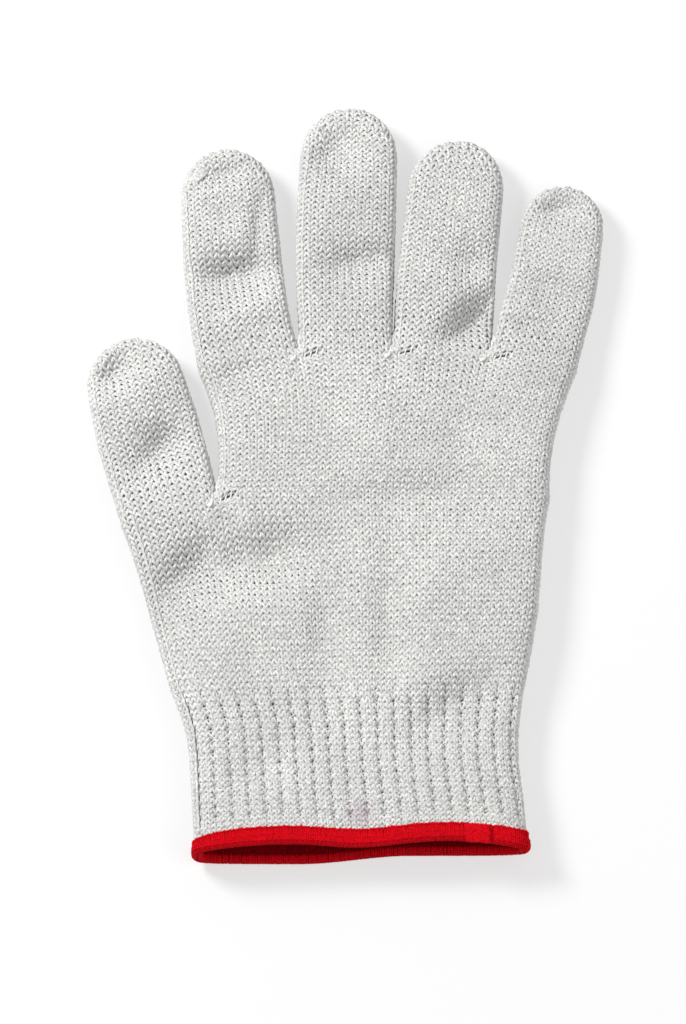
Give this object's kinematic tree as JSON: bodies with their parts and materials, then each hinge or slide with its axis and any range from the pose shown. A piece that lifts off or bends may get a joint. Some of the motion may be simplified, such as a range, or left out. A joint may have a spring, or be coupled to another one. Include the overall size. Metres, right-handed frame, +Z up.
{
  "type": "cut resistant knitted glove",
  "caption": "Seamless knitted cut resistant glove with ribbed elastic cuff and red overlocked edge; fingers, thumb and wrist bend.",
  "frame": {"origin": "on the table under the middle of the glove's outline", "axes": "+X towards the little finger, +Y towards the fingertips, +Z up out of the palm; the glove lies on its back"},
  "size_m": [0.1596, 0.24, 0.018],
  "materials": {
    "yarn": "matte",
    "join_yarn": "matte",
    "overlock_yarn": "matte",
    "elastic_yarn": "matte"
  },
  "bodies": {
    "palm": {"upper_palm": "yarn", "lower_palm": "yarn", "index_middle_join": "join_yarn", "middle_ring_join": "join_yarn", "ring_little_join": "join_yarn", "thumb_index_join": "join_yarn"},
    "cuff": {"wrist_bend": "yarn", "rib_cuff": "yarn", "cuff_elastic": "elastic_yarn", "overlock_edge": "overlock_yarn", "overlock_tail": "overlock_yarn"},
    "index_proximal_section": {"index_root_bend": "yarn", "index_proximal": "yarn"},
    "index_middle_section": {"index_middle_bend": "yarn", "index_middle": "yarn"},
    "index_tip_section": {"index_tip_bend": "yarn", "index_tip": "yarn"},
    "middle_proximal_section": {"middle_root_bend": "yarn", "middle_proximal": "yarn"},
    "middle_middle_section": {"middle_middle_bend": "yarn", "middle_middle": "yarn"},
    "middle_tip_section": {"middle_tip_bend": "yarn", "middle_tip": "yarn"},
    "ring_proximal_section": {"ring_root_bend": "yarn", "ring_proximal": "yarn"},
    "ring_middle_section": {"ring_middle_bend": "yarn", "ring_middle": "yarn"},
    "ring_tip_section": {"ring_tip_bend": "yarn", "ring_tip": "yarn"},
    "little_proximal_section": {"little_root_bend": "yarn", "little_proximal": "yarn"},
    "little_middle_section": {"little_middle_bend": "yarn", "little_middle": "yarn"},
    "little_tip_section": {"little_tip_bend": "yarn", "little_tip": "yarn"},
    "thumb_base_section": {"thumb_root_bend": "yarn", "thumb_base": "yarn"},
    "thumb_tip_section": {"thumb_tip_bend": "yarn", "thumb_tip": "yarn"}
  },
  "joints": [
    {"name": "wrist", "type": "hinge", "parent": "palm", "child": "cuff", "pos_m": [0, -0.07355, 0.0072], "axis": [-1, 0, 0], "range_deg": [-40, 60], "deforming": ["wrist_bend"]},
    {"name": "index_root", "type": "hinge", "parent": "palm", "child": "index_proximal_section", "pos_m": [-0.03001, 0.04652, 0.00637], "axis": [0.9954, 0.0958, 0], "range_deg": [0, 80], "deforming": ["index_root_bend"]},
    {"name": "index_middle", "type": "hinge", "parent": "index_proximal_section", "child": "index_middle_section", "pos_m": [-0.03189, 0.06603, 0.00602], "axis": [0.9954, 0.0958, 0], "range_deg": [0, 85], "deforming": ["index_middle_bend"]},
    {"name": "index_tip", "type": "hinge", "parent": "index_middle_section", "child": "index_tip_section", "pos_m": [-0.03381, 0.08594, 0.006], "axis": [0.9954, 0.0958, 0], "range_deg": [0, 57], "deforming": ["index_tip_bend"]},
    {"name": "middle_root", "type": "hinge", "parent": "palm", "child": "middle_proximal_section", "pos_m": [0.00036, 0.04905, 0.00634], "axis": [1, -0.0087, 0], "range_deg": [0, 80], "deforming": ["middle_root_bend"]},
    {"name": "middle_middle", "type": "hinge", "parent": "middle_proximal_section", "child": "middle_middle_section", "pos_m": [0.00056, 0.07265, 0.0061], "axis": [1, -0.0087, 0], "range_deg": [0, 85], "deforming": ["middle_middle_bend"]},
    {"name": "middle_tip", "type": "hinge", "parent": "middle_middle_section", "child": "middle_tip_section", "pos_m": [0.00077, 0.09665, 0.0061], "axis": [1, -0.0087, 0], "range_deg": [0, 57], "deforming": ["middle_tip_bend"]},
    {"name": "ring_root", "type": "hinge", "parent": "palm", "child": "ring_proximal_section", "pos_m": [0.0303, 0.04843, 0.00628], "axis": [0.9969, -0.0785, 0], "range_deg": [0, 80], "deforming": ["ring_root_bend"]},
    {"name": "ring_middle", "type": "hinge", "parent": "ring_proximal_section", "child": "ring_middle_section", "pos_m": [0.03184, 0.06797, 0.00602], "axis": [0.9969, -0.0785, 0], "range_deg": [0, 85], "deforming": ["ring_middle_bend"]},
    {"name": "ring_tip", "type": "hinge", "parent": "ring_middle_section", "child": "ring_tip_section", "pos_m": [0.03341, 0.08791, 0.006], "axis": [0.9969, -0.0785, 0], "range_deg": [0, 57], "deforming": ["ring_tip_bend"]},
    {"name": "little_root", "type": "hinge", "parent": "palm", "child": "little_proximal_section", "pos_m": [0.05969, 0.04667, 0.00592], "axis": [0.9863, -0.165, 0], "range_deg": [0, 75], "deforming": ["little_root_bend"]},
    {"name": "little_middle", "type": "hinge", "parent": "little_proximal_section", "child": "little_middle_section", "pos_m": [0.06217, 0.06147, 0.0055], "axis": [0.9863, -0.165, 0], "range_deg": [0, 85], "deforming": ["little_middle_bend"]},
    {"name": "little_tip", "type": "hinge", "parent": "little_middle_section", "child": "little_tip_section", "pos_m": [0.06473, 0.07675, 0.0055], "axis": [0.9863, -0.165, 0], "range_deg": [0, 57], "deforming": ["little_tip_bend"]},
    {"name": "thumb_root", "type": "hinge", "parent": "palm", "child": "thumb_base_section", "pos_m": [-0.05609, -0.00122, 0.0069], "axis": [0.9724, 0.2334, 0], "range_deg": [0, 60], "deforming": ["thumb_root_bend"]},
    {"name": "thumb_tip", "type": "hinge", "parent": "thumb_base_section", "child": "thumb_tip_section", "pos_m": [-0.0616, 0.02172, 0.0065], "axis": [0.9724, 0.2334, 0], "range_deg": [0, 80], "deforming": ["thumb_tip_bend"]}
  ],
  "couplings": [
    {"joint": "index_tip", "follows": "index_middle", "ratio": 0.6667},
    {"joint": "middle_tip", "follows": "middle_middle", "ratio": 0.6667},
    {"joint": "ring_tip", "follows": "ring_middle", "ratio": 0.6667},
    {"joint": "little_tip", "follows": "little_middle", "ratio": 0.6667}
  ]
}
